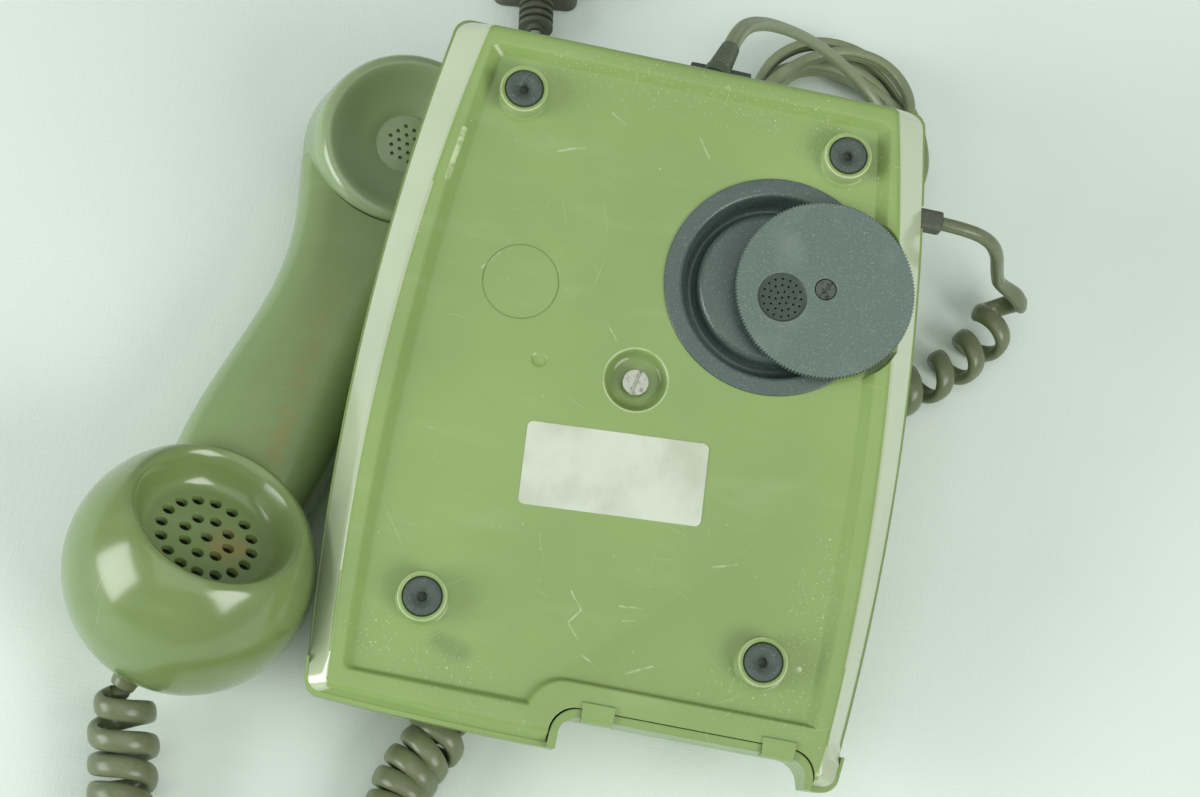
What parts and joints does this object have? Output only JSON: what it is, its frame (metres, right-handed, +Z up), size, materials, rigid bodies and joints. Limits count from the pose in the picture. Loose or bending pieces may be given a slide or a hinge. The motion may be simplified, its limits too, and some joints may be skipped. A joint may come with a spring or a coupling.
{
  "type": "push-button telephone",
  "caption": "Push-button desk telephone lying on its face, with its underside up, its ball-ended handset beside it and its curly and line cords",
  "frame": {"origin": "on the table, under the middle of the box round the telephone and its handset without cords", "axes": "+Z up from the table, +Y towards the telephone's rear edge, +X to the right in the picture"},
  "size_m": [0.2803, 0.414, 0.0967],
  "materials": {
    "green_case": "moulded ABS, satin gloss, fine scratches",
    "green_handset": "moulded ABS, glossy",
    "black_plastic": "grained black moulding",
    "foot_rubber": "grey-black rubber, dusty",
    "screw_steel": "zinc plated, dull",
    "label_paper": "aged paper label, bare",
    "cord_green": "soft PVC sheath",
    "relief_brown": "moulded PVC strain relief",
    "board_green": "glass fibre board",
    "key_grey": "double-shot key cap",
    "frame_dark": "dark keypad frame",
    "mat_rubber": "silicone rubber",
    "can_metal": "can",
    "chip_black": "moulded epoxy",
    "core_steel": "laminated core",
    "nylon": "natural nylon",
    "spring_steel": "spring steel"
  },
  "bodies": {
    "phone": {"base_moulding": "green_case", "board_screws": "screw_steel", "capacitors": "can_metal", "cover_case": "green_case", "cover_screw": "screw_steel", "curly_coil": "cord_green", "curly_lead": "cord_green", "dialler_chip": "chip_black", "handset_gland": "relief_brown", "hook_spring": "spring_steel", "hook_switch": "nylon", "key_mat": "mat_rubber", "keypad_board": "board_green", "keypad_frame": "frame_dark", "keypad_screws": "screw_steel", "label": "label_paper", "line_cord": "cord_green", "line_gland": "relief_brown", "line_hank": "cord_green", "line_plug": "relief_brown", "line_tail": "cord_green", "main_board": "board_green", "rubber_feet": "foot_rubber", "sounder_capsule": "can_metal", "sounder_housing": "black_plastic", "terminal_block": "nylon", "terminal_screws": "screw_steel", "transformer": "core_steel", "volume_disc_screw": "screw_steel"},
    "handset": {"handset_handle": "green_handset", "transmitter_cap": "green_handset", "receiver_cap": "green_handset", "transmitter_capsule": "can_metal", "receiver_capsule": "can_metal", "handset_relief": "relief_brown"},
    "volume_disc": {"volume_disc": "black_plastic"},
    "hook_plunger": {"hook_plunger": "nylon"},
    "key_0": {"key_0": "key_grey"},
    "key_1": {"key_1": "key_grey"},
    "key_2": {"key_2": "key_grey"},
    "key_3": {"key_3": "key_grey"},
    "key_4": {"key_4": "key_grey"},
    "key_5": {"key_5": "key_grey"},
    "key_6": {"key_6": "key_grey"},
    "key_7": {"key_7": "key_grey"},
    "key_8": {"key_8": "key_grey"},
    "key_9": {"key_9": "key_grey"},
    "key_hash": {"key_hash": "key_grey"},
    "key_star": {"key_star": "key_grey"}
  },
  "joints": [
    {"name": "handset_lift", "type": "slide", "parent": "phone", "child": "handset", "axis": [-0.8, 0, 0.6], "range_m": [0, 0.15], "deforming": ["curly_coil"]},
    {"name": "volume_turn", "type": "hinge", "parent": "phone", "child": "volume_disc", "pos_m": [0.0849, 0.02874, 0.08374], "axis": [0, -0.2504, 0.9681], "range_deg": [-90, 90]},
    {"name": "hook_press", "type": "slide", "parent": "phone", "child": "hook_plunger", "axis": [0, 0, 1], "range_m": [0, 0.006], "stiffness_N_per_m": 120, "springref_m": -0.002, "deforming": ["hook_spring"]},
    {"name": "press_key_0", "type": "slide", "parent": "phone", "child": "key_0", "axis": [0, 0, 1], "range_m": [0, 0.0025], "stiffness_N_per_m": 200, "springref_m": -0.001},
    {"name": "press_key_1", "type": "slide", "parent": "phone", "child": "key_1", "axis": [0, 0, 1], "range_m": [0, 0.0025], "stiffness_N_per_m": 200, "springref_m": -0.001},
    {"name": "press_key_2", "type": "slide", "parent": "phone", "child": "key_2", "axis": [0, 0, 1], "range_m": [0, 0.0025], "stiffness_N_per_m": 200, "springref_m": -0.001},
    {"name": "press_key_3", "type": "slide", "parent": "phone", "child": "key_3", "axis": [0, 0, 1], "range_m": [0, 0.0025], "stiffness_N_per_m": 200, "springref_m": -0.001},
    {"name": "press_key_4", "type": "slide", "parent": "phone", "child": "key_4", "axis": [0, 0, 1], "range_m": [0, 0.0025], "stiffness_N_per_m": 200, "springref_m": -0.001},
    {"name": "press_key_5", "type": "slide", "parent": "phone", "child": "key_5", "axis": [0, 0, 1], "range_m": [0, 0.0025], "stiffness_N_per_m": 200, "springref_m": -0.001},
    {"name": "press_key_6", "type": "slide", "parent": "phone", "child": "key_6", "axis": [0, 0, 1], "range_m": [0, 0.0025], "stiffness_N_per_m": 200, "springref_m": -0.001},
    {"name": "press_key_7", "type": "slide", "parent": "phone", "child": "key_7", "axis": [0, 0, 1], "range_m": [0, 0.0025], "stiffness_N_per_m": 200, "springref_m": -0.001},
    {"name": "press_key_8", "type": "slide", "parent": "phone", "child": "key_8", "axis": [0, 0, 1], "range_m": [0, 0.0025], "stiffness_N_per_m": 200, "springref_m": -0.001},
    {"name": "press_key_9", "type": "slide", "parent": "phone", "child": "key_9", "axis": [0, 0, 1], "range_m": [0, 0.0025], "stiffness_N_per_m": 200, "springref_m": -0.001},
    {"name": "press_key_hash", "type": "slide", "parent": "phone", "child": "key_hash", "axis": [0, 0, 1], "range_m": [0, 0.0025], "stiffness_N_per_m": 200, "springref_m": -0.001},
    {"name": "press_key_star", "type": "slide", "parent": "phone", "child": "key_star", "axis": [0, 0, 1], "range_m": [0, 0.0025], "stiffness_N_per_m": 200, "springref_m": -0.001}
  ]
}
